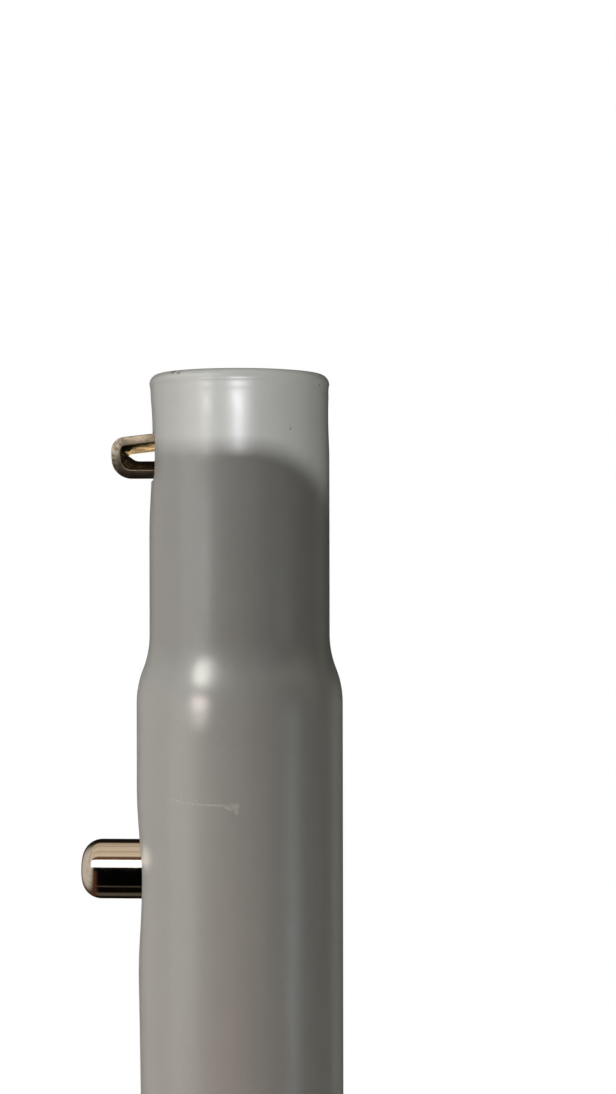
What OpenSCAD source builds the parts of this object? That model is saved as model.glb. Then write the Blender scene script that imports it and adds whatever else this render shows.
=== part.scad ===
// Quick-release mast tube section: a swaged steel tube with a spring latch in its upper end.
// Millimetres. Z runs up the tube from the socket's mouth at Z = 0, on the tube's axis.
// The latch loop and the push button stand out towards -X.

/* [Tube] */
// Overall length, from the socket's mouth to the rim of the spigot
tube_length = 203.2; // [190:0.1:600]
// Outside diameter of the main tube
tube_od = 25.4; // [24:0.1:34]
// Wall of the main tube and of the spigot
wall = 1.5; // [1:0.1:1.8]

/* [Socket] */
// Depth of the reamed socket at the lower end
socket_depth = 36; // [30:0.5:60]
// Wall that is left around the reamed socket
socket_wall = 1.3; // [0.8:0.1:1.6]
// Radial gap between a spigot and the socket that it slides into
socket_clearance = 0.3; // [0.1:0.05:0.5]

/* [Spigot] */
// Straight length of the swaged upper end
spigot_length = 32; // [26:0.5:50]
// Height of the S-shaped neck between the spigot and the main tube
neck_length = 8.4; // [5:0.1:14]
// Rounding of the rim's outer edge
rim_radius = 1.25; // [0.3:0.05:1.3]
// Bevel of the rim's inner edge
rim_bevel = 0.2; // [0:0.05:0.2]

/* [Spring strip] */
// Width of the spring strip
strip_width = 7.5; // [5:0.1:9]
// Thickness of the spring strip
strip_thick = 1.15; // [0.8:0.05:1.3]
// Gap between the edges of the strip and the wall that they bear on
strip_gap = 0.3; // [0.15:0.05:0.5]
// Distance of the hairpin bend's centre below the rim
bend_drop = 102; // [90:0.5:115]
// Straight length of the back leg
back_leg_length = 48; // [30:0.5:55]
// Corner radius at the free end of the back leg
leg_corner = 1.6; // [0.5:0.1:2.4]

/* [Latch loop] */
// Distance of the loop's centre below the rim
loop_drop = 10; // [8:0.1:14]
// How far the loop's nose stands out of the spigot
loop_reach = 4.3; // [4:0.1:6]
// Outside height of the loop where it leaves the spigot
loop_height = 4.5; // [4.2:0.1:5.2]
// Fall of the upper limb towards the nose, in degrees
loop_slope = 6.5; // [0:0.5:10]
// Outside radius of the nose above its tip
nose_upper_radius = 1.7; // [1.5:0.05:1.9]
// Inside radius of the bend from the leg into the loop
heel_radius = 0.6; // [0.4:0.05:0.8]
// How far the upper limb runs back into the spigot, past its wall
tail_run = 2.4; // [0.5:0.1:3]
// Cant of the loop about its own length, near edge up, in degrees
loop_cant = 5; // [0:0.5:6]
// Gap around the loop in its slots
slot_gap = 0.5; // [0.35:0.05:0.6]
// Corner radius of the slots
slot_corner = 1; // [0.4:0.1:2]

/* [Push button] */
// Distance of the button's centre below the rim
button_drop = 61; // [56:0.5:75]
// Diameter of the button
button_dia = 7.3; // [6:0.1:8]
// How far the button stands out of the main tube
button_reach = 6.9; // [5:0.05:9]
// Rounding around the button's end
button_round = 2.4; // [0.5:0.1:2.4]
// Radius of the shallow crown on the button's end
crown_radius = 12; // [8:0.5:40]
// Radial gap around the button in its hole
button_gap = 0.5; // [0.4:0.05:0.7]
// Diameter of the stem that is riveted through the strip
stem_dia = 4; // [2.5:0.1:4.5]
// Radial gap around the stem in the strip
stem_gap = 0.05; // [0.02:0.01:0.1]
// Diameter of the riveted head behind the strip
rivet_dia = 6; // [5:0.1:7]
// Thickness of the riveted head
rivet_thick = 0.9; // [0.5:0.1:1.2]

/* [Hidden] */
$fn = 96;

over = 1; // how far a cutting shape runs past what it cuts
outline_lap = 0.5; // how far one stretch of the tube's outline runs into the next
heel_lap = 0.5; // how far the canted loop is sunk into the straight leg
corner_step = 15; // degrees between the points of a slot's corner
bend_lap = 0.01; // how far a straight run of strip reaches back into the bend before it
paint = [0.60, 0.59, 0.56];
nickel = [0.72, 0.68, 0.60];
bright_nickel = [0.82, 0.79, 0.73];

tube_r = tube_od / 2;
bore_r = tube_r - wall;
socket_r = tube_r - socket_wall;
spigot_r = socket_r - socket_clearance;
spigot_bore_r = spigot_r - wall;

// The neck is two equal arcs, tangent to both cylinders and to each other.
neck_top = tube_length - spigot_length;
neck_base = neck_top - neck_length;
neck_step = tube_r - spigot_r;
neck_turn = 2 * atan(neck_step / neck_length);
neck_arc_r = neck_length / (2 * sin(neck_turn));

// The legs lie with their edges just clear of the two bores.
half_width = strip_width / 2;
front_face = -(sqrt(pow(spigot_bore_r, 2) - pow(half_width, 2)) - strip_gap);
back_face = sqrt(pow(bore_r, 2) - pow(half_width, 2)) - strip_gap;
bend_r = (back_face - front_face) / 2;
bend_x = (back_face + front_face) / 2;
bend_z = tube_length - bend_drop;

// The loop is drawn in its own plane: u outwards from the tube's axis, v up from its centre.
loop_z = tube_length - loop_drop;
nose_u = spigot_r + loop_reach;
limb_u = -front_face;
upper_nose_u = nose_u - nose_upper_radius;
upper_nose_v = loop_height / 2 - (upper_nose_u - spigot_r) * tan(loop_slope)
    - nose_upper_radius / cos(loop_slope);
nose_lower_radius = upper_nose_v + loop_height / 2;
lower_limb_run = nose_u - nose_lower_radius - limb_u - heel_radius;
upper_limb_run = (upper_nose_u - spigot_bore_r + tail_run) / cos(loop_slope);
heel_z = loop_z - loop_height / 2 - heel_radius;

// A slot clears the canted loop by the slot gap on every side.
slot_height = loop_height * cos(loop_cant) + strip_width * sin(loop_cant) + 2 * slot_gap;
slot_width = strip_width * cos(loop_cant) + loop_height * sin(loop_cant) + 2 * slot_gap;

// A seated spigot stops where the socket's mouth meets its neck.
seat_run = neck_arc_r * sin(acos(1 - socket_clearance / neck_arc_r));
socket_slot_z = spigot_length + seat_run - loop_drop;

button_z = tube_length - button_drop;
button_len = tube_r + button_reach + front_face;

// A bend of a strip: a ring sector that starts on the +X side and turns anticlockwise.
module ring_sector(outer, inner, turn) {
    reach = 2 * outer;
    intersection() {
        difference() {
            circle(r = outer);
            circle(r = inner);
        }
        polygon([
            [0, 0],
            [reach, 0],
            reach * [cos(turn / 2), sin(turn / 2)],
            reach * [cos(turn), sin(turn)],
        ]);
    }
}

// A strip that runs up from the origin, its left face on the Y axis, and bends as it goes.
// Each step is [straight run, turn to the left in degrees, inside radius of that bend];
// a negative turn goes to the right.
module bent_strip(steps, from = 0) {
    if (from < len(steps)) {
        run = steps[from][0];
        turn = steps[from][1];
        inner = steps[from][2];
        lap = from > 0 ? bend_lap : 0;
        if (run > 0) translate([0, -lap]) square([strip_thick, run + lap]);
        translate([0, run]) {
            if (turn > 0) {
                translate([-inner, 0]) {
                    ring_sector(inner + strip_thick, inner, turn);
                    rotate(turn) translate([inner, 0]) bent_strip(steps, from + 1);
                }
            } else if (turn < 0) {
                translate([strip_thick + inner, 0]) {
                    mirror([1, 0]) ring_sector(inner + strip_thick, inner, -turn);
                    rotate(turn) translate([-strip_thick - inner, 0]) bent_strip(steps, from + 1);
                }
            }
        }
    }
}

// Lays a flat outline, drawn in X and Z, across the width of the strip.
module across_strip() {
    rotate([90, 0, 0]) linear_extrude(strip_width, center = true) children();
}

// The neck between two cylinders, filled in to the axis.
module neck_outline(lower_r, upper_r, lower_arc, upper_arc) {
    turn_z = neck_base + lower_arc * sin(neck_turn);
    turn_r = lower_r - lower_arc * (1 - cos(neck_turn));
    intersection() {
        translate([0, neck_base - outline_lap]) square([lower_r, turn_z - neck_base + outline_lap]);
        translate([lower_r - lower_arc, neck_base]) circle(r = lower_arc);
    }
    difference() {
        translate([0, turn_z - outline_lap]) square([turn_r, neck_top - turn_z + outline_lap]);
        translate([upper_r + upper_arc, neck_top]) circle(r = upper_arc);
    }
}

module outer_outline() {
    square([tube_r, neck_base]);
    neck_outline(tube_r, spigot_r, neck_arc_r, neck_arc_r);
    translate([0, neck_top - outline_lap]) {
        square([spigot_r, spigot_length + outline_lap - rim_radius]);
        square([spigot_r - rim_radius, spigot_length + outline_lap]);
    }
    translate([spigot_r - rim_radius, tube_length - rim_radius]) circle(r = rim_radius);
}

module bore_outline() {
    translate([0, -over]) square([socket_r, socket_depth + over]);
    translate([0, -over]) square([bore_r, neck_base + over]);
    neck_outline(bore_r, spigot_bore_r, neck_arc_r - wall, neck_arc_r + wall);
    translate([0, neck_top - outline_lap])
        square([spigot_bore_r, spigot_length + outline_lap + over]);
    translate([0, tube_length - rim_bevel])
        polygon([
            [0, 0],
            [spigot_bore_r, 0],
            [spigot_bore_r + rim_bevel + over, rim_bevel + over],
            [0, rim_bevel + over],
        ]);
}

// The outline of a rectangle about the origin whose corners are rounded in short steps.
function rounded_corner(w, h, r, quarter) = [
    for (a = [90 * quarter : corner_step : 90 * quarter + 90])
        [
            (quarter == 0 || quarter == 3 ? 1 : -1) * (w / 2 - r) + r * cos(a),
            (quarter < 2 ? 1 : -1) * (h / 2 - r) + r * sin(a),
        ],
];

// A slot with round corners through the -X wall, at a height up the tube.
module latch_slot_cut(z) {
    translate([0, 0, z]) rotate([90, 0, -90]) linear_extrude(tube_r + over)
        polygon([
            for (quarter = [0 : 3])
                each rounded_corner(slot_width, slot_height, slot_corner, quarter),
        ]);
}

module mast_tube() {
    color(paint) difference() {
        rotate_extrude() difference() {
            outer_outline();
            bore_outline();
        }
        latch_slot_cut(loop_z);
        latch_slot_cut(socket_slot_z);
        translate([0, 0, button_z]) rotate([0, -90, 0])
            cylinder(r = button_dia / 2 + button_gap, h = tube_r + over);
    }
}

// The leg that bears on the +X wall, with its free end rounded.
module spring_back_leg() {
    color(nickel) translate([back_face - strip_thick, 0, bend_z]) rotate([90, 0, 90])
        linear_extrude(strip_thick) {
            translate([-half_width, 0]) square([strip_width, back_leg_length - leg_corner]);
            translate([leg_corner - half_width, 0])
                square([strip_width - 2 * leg_corner, back_leg_length]);
            for (side = [-1, 1])
                translate([side * (half_width - leg_corner), back_leg_length - leg_corner])
                    circle(r = leg_corner);
        }
}

module spring_bend() {
    color(nickel) translate([bend_x, 0, bend_z]) across_strip()
        rotate(180) ring_sector(bend_r, bend_r - strip_thick, 180);
}

// The leg that carries the button and the loop.
module latch_leg() {
    color(nickel) {
        difference() {
            translate([front_face, 0, bend_z]) across_strip()
                square([strip_thick, heel_z - bend_z]);
            translate([front_face - over, 0, button_z]) rotate([0, 90, 0])
                cylinder(r = stem_dia / 2 + stem_gap, h = strip_thick + 2 * over);
        }
        translate([0, 0, loop_z]) rotate([-loop_cant, 0, 0]) across_strip()
            translate([front_face, heel_z - heel_lap - loop_z]) bent_strip([
                [heel_lap, 90, heel_radius],
                [lower_limb_run, -90, nose_lower_radius - strip_thick],
                [0, loop_slope - 90, nose_upper_radius - strip_thick],
                [upper_limb_run, 0, 0],
            ]);
    }
}

// A turned button with a crowned, rounded end, riveted through the latch leg.
module push_button() {
    button_r = button_dia / 2;
    color(bright_nickel) translate([front_face, 0, button_z]) rotate([0, -90, 0]) {
        intersection() {
            rotate_extrude() {
                square([button_r, button_len - button_round]);
                square([button_r - button_round, button_len]);
                translate([button_r - button_round, button_len - button_round])
                    intersection() {
                        circle(r = button_round);
                        square(button_round);
                    }
            }
            translate([0, 0, button_len - crown_radius]) sphere(r = crown_radius);
        }
        translate([0, 0, -strip_thick]) cylinder(d = stem_dia, h = strip_thick);
        translate([0, 0, -strip_thick - rivet_thick]) cylinder(d = rivet_dia, h = rivet_thick);
    }
}

mast_tube();
spring_back_leg();
spring_bend();
latch_leg();
push_button();
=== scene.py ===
"""A quick-release mast tube section: its coated tube, spring latch and push button, on a studio floor."""
import math

import bmesh
import bpy
from bpy.props import FloatProperty, FloatVectorProperty, IntProperty, PointerProperty
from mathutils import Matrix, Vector


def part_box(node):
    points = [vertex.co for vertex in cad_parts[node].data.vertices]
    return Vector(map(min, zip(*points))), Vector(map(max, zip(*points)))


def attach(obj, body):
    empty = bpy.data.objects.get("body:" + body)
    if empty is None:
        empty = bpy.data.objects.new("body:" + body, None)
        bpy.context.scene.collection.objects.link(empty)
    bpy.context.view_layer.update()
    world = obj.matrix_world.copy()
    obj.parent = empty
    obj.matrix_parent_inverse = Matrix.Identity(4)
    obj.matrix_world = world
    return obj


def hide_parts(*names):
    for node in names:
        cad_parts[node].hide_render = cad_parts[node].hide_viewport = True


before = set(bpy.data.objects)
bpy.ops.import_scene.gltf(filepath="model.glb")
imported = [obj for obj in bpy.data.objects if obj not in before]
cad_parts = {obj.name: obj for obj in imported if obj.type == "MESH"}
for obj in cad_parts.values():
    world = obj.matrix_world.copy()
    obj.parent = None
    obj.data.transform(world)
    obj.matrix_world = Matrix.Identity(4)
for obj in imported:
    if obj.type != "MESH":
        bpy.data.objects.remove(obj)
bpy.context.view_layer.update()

bl_info = {
    "name": "Quick-release mast tube section",
    "version": (1, 0, 0),
    "blender": (4, 5, 0),
    "location": "View3D > Sidebar > Mast tube",
    "description": "Builds the coated tube, its spring latch and its push button round the packed frame",
    "category": "Object",
}

MM = 0.001

# Places taken from the frame: every visible piece is built from these.
TUBE_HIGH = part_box("mast_tube")[1]
LEG_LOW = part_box("latch_leg")[0]
BEND_LOW, BEND_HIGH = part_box("spring_bend")
BACK_LOW, BACK_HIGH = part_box("spring_back_leg")
BUTTON_LOW, BUTTON_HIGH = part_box("push_button")
TUBE_LENGTH = TUBE_HIGH.z
TUBE_RADIUS = TUBE_HIGH.x
NOSE_REACH = -LEG_LOW.x
BUTTON_TIP = -BUTTON_LOW.x
BUTTON_RADIUS = BUTTON_HIGH.y
BUTTON_Z = (BUTTON_LOW.z + BUTTON_HIGH.z) / 2


def linear(hex_code):
    """An sRGB hex colour as the linear RGB that shaders and lights take."""
    channels = [int(hex_code[i:i + 2], 16) / 255 for i in (0, 2, 4)]
    return tuple(c / 12.92 if c <= 0.04045 else ((c + 0.055) / 1.055) ** 2.4 for c in channels)


def rgba(hex_code):
    """The same colour with full alpha, for node sockets."""
    return (*linear(hex_code), 1)


# --- Sizes and colours that a user would change ---


def length(name, description, millimetres):
    """A property that holds a length."""
    return FloatProperty(
        name=name, description=description, default=millimetres * MM, min=0, precision=5, unit="LENGTH"
    )


def angle(name, description, degrees):
    """A property that holds an angle."""
    return FloatProperty(name=name, description=description, default=math.radians(degrees), subtype="ANGLE")


def colour(name, description, hex_code):
    """A property that holds a surface colour."""
    return FloatVectorProperty(
        name=name, description=description, default=linear(hex_code), min=0, max=1, size=3, subtype="COLOR"
    )


class TubeSizes(bpy.types.PropertyGroup):
    """The swaged tube."""

    wall: length("Wall", "Wall of the main tube and of the spigot", 1.5)
    socket_wall: length("Socket wall", "Wall left around the reamed socket", 1.3)
    socket_depth: length("Socket depth", "Depth of the reamed socket", 36)
    clearance: length("Clearance", "Radial gap between a spigot and its socket", 0.3)
    spigot: length("Spigot", "Straight length of the swaged upper end", 32)
    neck: length("Neck", "Height of the S-shaped neck", 8.4)
    rim_round: length("Rim rounding", "Rounding of the rim's outer edge", 1.25)
    edge_round: length("Edge rounding", "Rounding of every other cut edge, as the coat leaves it", 0.2)
    waist: length("Waist", "How much the spigot draws in below its rim", 0.13)
    slot_width: length("Slot width", "Width of the slots that clear the loop", 8.86)
    slot_height: length("Slot height", "Height of the slots that clear the loop", 5.86)
    slot_corner: length("Slot corner", "Corner radius of the slots", 1)
    coat_colour: colour("Coat colour", "Colour of the powder coat", "A8A7A2")
    steps_around: IntProperty(name="Steps around", description="Facets round the tube", default=240, min=24)


class SpringSizes(bpy.types.PropertyGroup):
    """The hairpin spring and its latch loop."""

    thickness: length("Thickness", "Thickness of the spring strip", 1.15)
    edge_round: length("Edge rounding", "Rounding of the strip's long edges", 0.14)
    leg_corner: length("Leg corner", "Corner radius at the back leg's free end", 1.6)
    loop_height: length("Loop height", "Outside height of the loop at the wall", 4.5)
    nose_upper: length("Upper nose radius", "Outside radius of the nose above its tip", 1.7)
    heel: length("Heel radius", "Inside radius of the bend from the leg into the loop", 0.6)
    tail: length("Tail", "How far the upper limb runs back past the wall", 2.4)
    loop_drop: length("Loop drop", "Distance of the loop's centre below the rim", 10)
    slope: angle("Slope", "Fall of the upper limb towards the nose", 6.5)
    upper_cant: angle("Upper cant", "Twist of the upper limb, near edge up", 5)
    lower_cant: angle("Lower cant", "Twist of the lower limb, near edge down", 10.5)
    strip_colour: colour("Strip colour", "Colour of the satin nickel on the strip", "9A8B77")


class ButtonSizes(bpy.types.PropertyGroup):
    """The turned push button."""

    edge_round: length("Edge rounding", "Rounding round the button's end", 2.4)
    crown: length("Crown", "Radius of the shallow crown on the end", 12)
    stem_radius: length("Stem radius", "Radius of the riveted stem", 2)
    rivet_radius: length("Rivet radius", "Radius of the riveted head", 3)
    rivet_height: length("Rivet height", "Height of the riveted head", 0.9)
    nickel_colour: colour("Nickel colour", "Colour of the bright nickel plate", "DBD1C6")


class StageSizes(bpy.types.PropertyGroup):
    """The floor and the camera."""

    floor_radius: length("Floor radius", "Radius of the round floor", 380)
    camera_distance: length("Camera distance", "From the tube's axis to the camera", 244)
    camera_sidestep: length("Camera sidestep", "How far the camera stands to the right", 8.44)
    camera_drop: length("Camera drop", "How far the camera stands below the rim", 21.23)
    camera_turn: angle("Camera turn", "Angle of the camera round the tube", 2.8)
    camera_roll: angle("Camera roll", "Lean of the camera about its own view", 0.096)
    lens: FloatProperty(
        name="Lens", description="Focal length on a 36 mm sensor", default=65.05, min=1, unit="CAMERA"
    )


# --- Helpers for nodes, curves and meshes ---


def add_node(tree, kind, sockets=None, **settings):
    """Add a node, set its settings, and fill its sockets with values or with links from other nodes."""
    node = tree.nodes.new(kind)
    for name, value in settings.items():
        setattr(node, name, value)
    for key, value in (sockets or {}).items():
        if isinstance(value, bpy.types.NodeSocket):
            tree.links.new(value, node.inputs[key])
        else:
            node.inputs[key].default_value = value
    return node


def calc(tree, operation, *values):
    """One step of arithmetic."""
    return add_node(tree, "ShaderNodeMath", dict(enumerate(values)), operation=operation).outputs[0]


def vector_calc(tree, operation, *values):
    """One step of arithmetic on vectors, or the length of one."""
    node = add_node(tree, "ShaderNodeVectorMath", dict(enumerate(values)), operation=operation)
    return node.outputs["Value" if operation == "LENGTH" else "Vector"]


def split(tree, vector):
    """The three axes of a vector."""
    return tuple(add_node(tree, "ShaderNodeSeparateXYZ", {"Vector": vector}).outputs)


def off_axis(tree, x, y):
    """The distance from the Z axis."""
    return vector_calc(tree, "LENGTH", add_node(tree, "ShaderNodeCombineXYZ", {"X": x, "Y": y}).outputs[0])


def compare(tree, operation, first, second):
    """A test of one value against another."""
    values = {0: first, 1: second}
    return add_node(tree, "FunctionNodeCompare", values, data_type="FLOAT", operation=operation).outputs[0]


def remap(tree, value, low, high, to_low=0.0, to_high=1.0, easing="SMOOTHSTEP"):
    """Carry a value smoothly from one range to another."""
    ranges = {"Value": value, "From Min": low, "From Max": high, "To Min": to_low, "To Max": to_high}
    return add_node(tree, "ShaderNodeMapRange", ranges, interpolation_type=easing).outputs["Result"]


def new_geometry_tree(name, inputs):
    """An empty geometry tree with a geometry input and the named inputs given, and their sockets."""
    tree = bpy.data.node_groups.new(name, "GeometryNodeTree")
    tree.interface.new_socket("Geometry", in_out="INPUT", socket_type="NodeSocketGeometry")
    for label, kind in inputs.items():
        tree.interface.new_socket(label, in_out="INPUT", socket_type=kind)
    tree.interface.new_socket("Geometry", in_out="OUTPUT", socket_type="NodeSocketGeometry")
    return tree, tree.nodes.new("NodeGroupInput").outputs


def run_tree(source, tree, values):
    """Run a geometry tree on a source object and return a finished object that holds the plain mesh."""
    modifier = source.modifiers.new(tree.name, "NODES")
    modifier.node_group = tree
    for item in tree.interface.items_tree:
        if item.in_out == "INPUT" and item.name in values:
            modifier[item.identifier] = values[item.name]
    graph = bpy.context.evaluated_depsgraph_get()
    mesh = bpy.data.meshes.new_from_object(source.evaluated_get(graph), depsgraph=graph)
    name = source.name
    source.modifiers.remove(modifier)
    bpy.data.objects.remove(source)
    if not mesh.polygons:
        raise RuntimeError(f"{name} came out empty")
    mesh.name = name
    return link_object(name, mesh)


def link_object(name, data):
    """A new object in the scene, at the origin."""
    obj = bpy.data.objects.new(name, data)
    bpy.context.scene.collection.objects.link(obj)
    return obj


def mesh_object(name, mesh):
    """A new object that holds a finished bmesh."""
    data = bpy.data.meshes.new(name)
    mesh.to_mesh(data)
    mesh.free()
    return link_object(name, data)


def poly_curve(name, points, closed):
    """A curve object of straight steps through the points."""
    data = bpy.data.curves.new(name, "CURVE")
    data.dimensions = "3D"
    spline = data.splines.new("POLY")
    spline.points.add(len(points) - 1)
    for place, point in zip(spline.points, points):
        place.co = (*point, 1)
    spline.use_cyclic_u = closed
    return link_object(name, data)


def straight(start, end, step):
    """Points from start to end, end left out, no further apart than step."""
    start = Vector(start)
    end = Vector(end)
    count = max(1, math.ceil((end - start).length / step))
    return [start.lerp(end, i / count) for i in range(count)]


def arc(centre, radius, start, end, steps):
    """Points round a flat arc from one angle to the other, in degrees, the last one left out."""
    angles = [math.radians(start + (end - start) * i / steps) for i in range(steps)]
    return [Vector((centre[0] + radius * math.cos(a), centre[1] + radius * math.sin(a))) for a in angles]


# --- Geometry trees ---

LIMB_BLEND = 0.8 * MM  # half the height over which the loop's nose joins the twists of its two limbs
AXIS_GAP = 1 * MM  # radius of the circle that a profile is swept round; the profile is shifted back by it
SHARP_ANGLE = 35  # degrees between two faces past which their edge is drawn sharp
DRILL_DEPTH = 4 * MM


def finish_tree(tree, geometry, material):
    """End a tree: smooth faces, creases past an angle, real geometry and a material."""
    smooth = add_node(tree, "GeometryNodeSetShadeSmooth", {"Geometry": geometry, "Shade Smooth": True})
    between = add_node(tree, "GeometryNodeInputMeshEdgeAngle").outputs["Unsigned Angle"]
    crease = compare(tree, "GREATER_THAN", between, math.radians(SHARP_ANGLE))
    creased = add_node(
        tree, "GeometryNodeSetShadeSmooth",
        {"Geometry": smooth.outputs[0], "Selection": crease, "Shade Smooth": False}, domain="EDGE",
    )
    real = add_node(tree, "GeometryNodeRealizeInstances", {"Geometry": creased.outputs[0]})
    painted = add_node(tree, "GeometryNodeSetMaterial", {"Geometry": real.outputs[0], "Material": material})
    add_node(tree, "NodeGroupOutput", {"Geometry": painted.outputs[0]})


def add_lathe(tree, profile, steps):
    """Turn a profile, drawn as radius and height, round the Z axis, with its poles closed."""
    placed = add_node(
        tree, "GeometryNodeTransform",
        {"Geometry": profile, "Translation": (-AXIS_GAP, 0, 0), "Scale": (1, -1, 1)},
    )
    circle = add_node(
        tree, "GeometryNodeCurvePrimitiveCircle", {"Resolution": steps, "Radius": AXIS_GAP}, mode="RADIUS"
    )
    turned = add_node(
        tree, "GeometryNodeCurveToMesh",
        {"Curve": circle.outputs["Curve"], "Profile Curve": placed.outputs[0]},
    )
    merged = add_node(tree, "GeometryNodeMergeByDistance", {"Geometry": turned.outputs[0], "Distance": 1e-6})
    outward = add_node(tree, "GeometryNodeFlipFaces", {"Mesh": merged.outputs[0]})
    return outward.outputs[0]


def add_dent(tree, geometry, centre, spread, depth, whole_radius):
    """Push the -X wall in round a centre height; the push fades to nothing at the spread (across, up).
    Points nearer the axis than whole_radius stay, so that a lining wall isn't pushed into the spring."""
    place = add_node(tree, "GeometryNodeInputPosition").outputs[0]
    x, y = split(tree, place)[:2]
    aside = vector_calc(tree, "SUBTRACT", place, (0, 0, centre))
    far = vector_calc(tree, "LENGTH", vector_calc(tree, "MULTIPLY", aside, (0, 1 / spread[0], 1 / spread[1])))
    push = remap(tree, far, 0.0, 1.0, depth, 0.0, easing="SMOOTHERSTEP")
    outside = compare(tree, "GREATER_THAN", off_axis(tree, x, y), whole_radius)
    left = compare(tree, "LESS_THAN", x, 0.0)
    both = add_node(tree, "FunctionNodeBooleanMath", {0: outside, 1: left}, operation="AND")
    offset = add_node(tree, "ShaderNodeCombineXYZ", {"X": push})
    moved = add_node(
        tree, "GeometryNodeSetPosition",
        {"Geometry": geometry, "Selection": both.outputs[0], "Offset": offset.outputs[0]},
    )
    return moved.outputs[0]


def tube_tree(dents):
    """The tube: a turned profile, opened by three cutters, then dented."""
    names = {"Steps Around": "NodeSocketInt", "Material": "NodeSocketMaterial"}
    cutters = ("Loop Slot", "Socket Slot", "Button Hole")
    tree, given = new_geometry_tree("Mast tube", {**names, **dict.fromkeys(cutters, "NodeSocketObject")})
    geometry = add_lathe(tree, given["Geometry"], given["Steps Around"])
    for name in cutters:
        cutter = add_node(tree, "GeometryNodeObjectInfo", {"Object": given[name]})
        opened = add_node(
            tree, "GeometryNodeMeshBoolean", {0: geometry, 1: cutter.outputs["Geometry"]},
            operation="DIFFERENCE", solver="MANIFOLD",
        )
        geometry = opened.outputs[0]
    for dent in dents:
        geometry = add_dent(tree, geometry, *dent)
    finish_tree(tree, geometry, given["Material"])
    return tree


def turned_tree():
    """A small turned part whose axis is laid from Z to -X and moved to its place."""
    tree, given = new_geometry_tree(
        "Turned part",
        {"Steps Around": "NodeSocketInt", "Place": "NodeSocketVector", "Material": "NodeSocketMaterial"},
    )
    turned = add_lathe(tree, given["Geometry"], given["Steps Around"])
    laid = add_node(
        tree, "GeometryNodeTransform",
        {"Geometry": turned, "Translation": given["Place"], "Rotation": (0, -math.pi / 2, 0)},
    )
    finish_tree(tree, laid.outputs[0], given["Material"])
    return tree


def strip_tree():
    """A bent strip: a rounded rectangle swept along its path, then canted about the loop's centre,
    its free end rounded, and drilled for the stem."""
    numbers = (
        "Width", "Thickness", "Edge Round", "Lower Cant", "Upper Cant", "Cant Start", "Cant Full",
        "End Height", "End Corner", "Hole Radius",
    )
    inputs = dict.fromkeys(numbers, "NodeSocketFloat")
    inputs |= dict.fromkeys(("Cant Centre", "Hole Place"), "NodeSocketVector")
    tree, given = new_geometry_tree("Spring strip", {**inputs, "Material": "NodeSocketMaterial"})
    across = add_node(
        tree, "GeometryNodeSetCurveNormal", {"Curve": given["Geometry"], "Normal": (0, 1, 0)}, mode="FREE"
    )
    section = add_node(
        tree, "GeometryNodeCurvePrimitiveQuadrilateral",
        {"Width": given["Width"], "Height": given["Thickness"]}, mode="RECTANGLE",
    )
    rounded = add_node(
        tree, "GeometryNodeFilletCurve",
        {"Curve": section.outputs[0], "Count": 5, "Radius": given["Edge Round"]}, mode="POLY",
    )
    swept = add_node(
        tree, "GeometryNodeCurveToMesh",
        {"Curve": across.outputs[0], "Profile Curve": rounded.outputs[0], "Fill Caps": True},
    )
    geometry = add_free_end(tree, swept.outputs[0], given)
    geometry = add_cant(tree, geometry, given)
    drill = add_node(
        tree, "GeometryNodeMeshCylinder",
        {"Vertices": 64, "Radius": given["Hole Radius"], "Depth": DRILL_DEPTH},
    )
    placed = add_node(
        tree, "GeometryNodeTransform",
        {
            "Geometry": drill.outputs["Mesh"], "Translation": given["Hole Place"],
            "Rotation": (0, math.pi / 2, 0),
        },
    )
    drilled = add_node(
        tree, "GeometryNodeMeshBoolean", {0: geometry, 1: placed.outputs[0]}, operation="DIFFERENCE",
        solver="MANIFOLD",
    )
    finish_tree(tree, drilled.outputs[0], given["Material"])
    return tree


def add_free_end(tree, geometry, given):
    """Narrow the strip towards its free end, so that its two corners become arcs."""
    y, z = split(tree, add_node(tree, "GeometryNodeInputPosition").outputs[0])[1:]
    corner = given["End Corner"]
    past = calc(tree, "SUBTRACT", z, calc(tree, "SUBTRACT", given["End Height"], corner))
    share = calc(tree, "MAXIMUM", 0.0, calc(tree, "MINIMUM", 1.0, calc(tree, "DIVIDE", past, corner)))
    rest = calc(tree, "SUBTRACT", 1.0, calc(tree, "MULTIPLY", share, share))
    cut = calc(tree, "SUBTRACT", 1.0, calc(tree, "SQRT", rest))
    half = calc(tree, "MULTIPLY", given["Width"], 0.5)
    part = calc(tree, "DIVIDE", calc(tree, "MULTIPLY", cut, corner), half)
    back = calc(tree, "MULTIPLY", calc(tree, "MULTIPLY", y, part), -1.0)
    offset = add_node(tree, "ShaderNodeCombineXYZ", {"Y": back})
    moved = add_node(tree, "GeometryNodeSetPosition", {"Geometry": geometry, "Offset": offset.outputs[0]})
    return moved.outputs[0]


def add_cant(tree, geometry, given):
    """Twist what lies above a height about the loop's own length, easing in from the start height.
    The two limbs twist by angles of their own, and the nose joins them."""
    place = add_node(tree, "GeometryNodeInputPosition").outputs[0]
    height = split(tree, place)[2]
    centre = given["Cant Centre"]
    above = calc(tree, "SUBTRACT", height, split(tree, centre)[2])
    limb = remap(tree, above, -LIMB_BLEND, LIMB_BLEND, given["Lower Cant"], given["Upper Cant"])
    ease = remap(tree, height, given["Cant Start"], given["Cant Full"])
    turned = add_node(
        tree, "ShaderNodeVectorRotate",
        {"Vector": place, "Center": centre, "Angle": calc(tree, "MULTIPLY", limb, ease)},
        rotation_type="X_AXIS",
    )
    moved = add_node(tree, "GeometryNodeSetPosition", {"Geometry": geometry, "Position": turned.outputs[0]})
    return moved.outputs[0]


# --- Tube ---

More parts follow.
